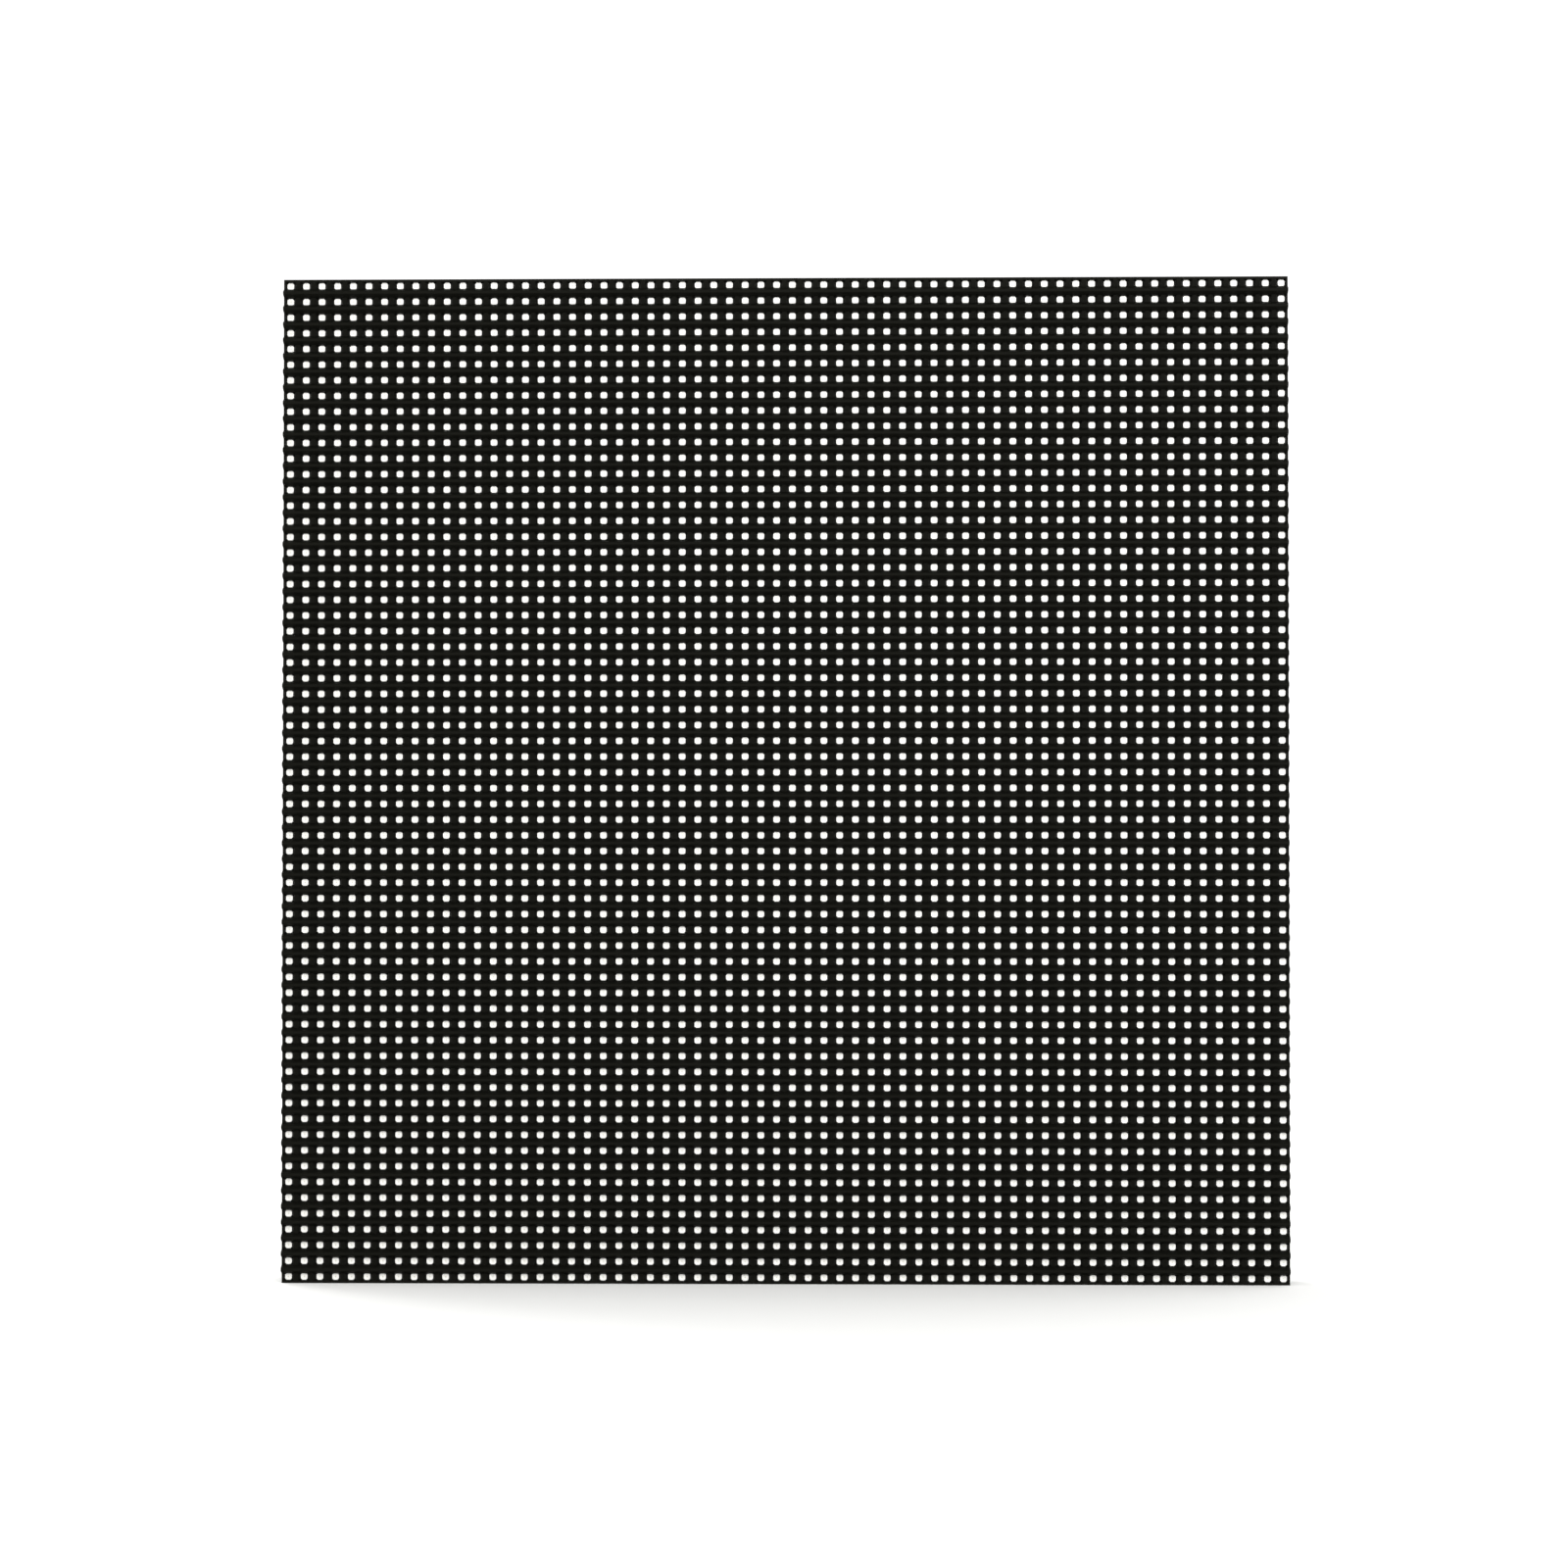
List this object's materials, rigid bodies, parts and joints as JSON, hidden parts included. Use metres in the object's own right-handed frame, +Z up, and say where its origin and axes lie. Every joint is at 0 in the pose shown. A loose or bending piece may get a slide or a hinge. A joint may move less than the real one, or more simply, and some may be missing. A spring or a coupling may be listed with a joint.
{
  "type": "led display module",
  "caption": "Flat square panel of white surface-mount lamps behind a black louvred mask, with driver board and open rear frame.",
  "frame": {"origin": "centre of the rear mounting plane, amid the threaded inserts", "axes": "+Y out of the rear, the lamps look along -Y; +Z up the module, +X to the right seen from the front"},
  "size_m": [0.1914, 0.0184, 0.1914],
  "materials": {
    "mask": "fine matt moulded, olive black",
    "lamp": "white resin",
    "board": "black solder resist over glass laminate",
    "frame": "spark-eroded matt moulded",
    "insert": "turned",
    "screw": "zinc plated",
    "header": "moulded",
    "header_pin": "gold flashed",
    "power_housing": "natural nylon",
    "power_pin": "tin plated",
    "chip": "moulded epoxy with tinned leads",
    "can": "drawn can on a black base",
    "ceramic": "fired ceramic with tinned ends",
    "resistor": "glazed with tinned ends"
  },
  "bodies": {
    "root": {"face_mask": "mask", "led_lamps": "lamp", "circuit_board": "board", "back_frame": "frame", "mounting_inserts": "insert", "frame_screws": "screw", "data_in_header": "header", "data_in_pins": "header_pin", "data_out_header": "header", "data_out_pins": "header_pin", "power_socket": "power_housing", "power_pins": "power_pin", "column_driver_01": "chip", "column_driver_02": "chip", "column_driver_03": "chip", "column_driver_04": "chip", "column_driver_05": "chip", "column_driver_06": "chip", "column_driver_07": "chip", "column_driver_08": "chip", "column_driver_09": "chip", "column_driver_10": "chip", "column_driver_11": "chip", "column_driver_12": "chip", "column_driver_13": "chip", "column_driver_14": "chip", "column_driver_15": "chip", "column_driver_16": "chip", "column_driver_17": "chip", "column_driver_18": "chip", "column_driver_19": "chip", "column_driver_20": "chip", "column_driver_21": "chip", "column_driver_22": "chip", "column_driver_23": "chip", "column_driver_24": "chip", "scan_driver_1": "chip", "scan_driver_2": "chip", "scan_driver_3": "chip", "scan_driver_4": "chip", "scan_driver_5": "chip", "scan_driver_6": "chip", "scan_driver_7": "chip", "scan_driver_8": "chip", "buffer_1": "chip", "buffer_2": "chip", "buffer_3": "chip", "buffer_4": "chip", "reservoir_capacitor_1": "can", "reservoir_capacitor_2": "can", "reservoir_capacitor_3": "can", "reservoir_capacitor_4": "can", "ceramic_capacitors": "ceramic", "chip_resistors": "resistor"}
  },
  "joints": []
}
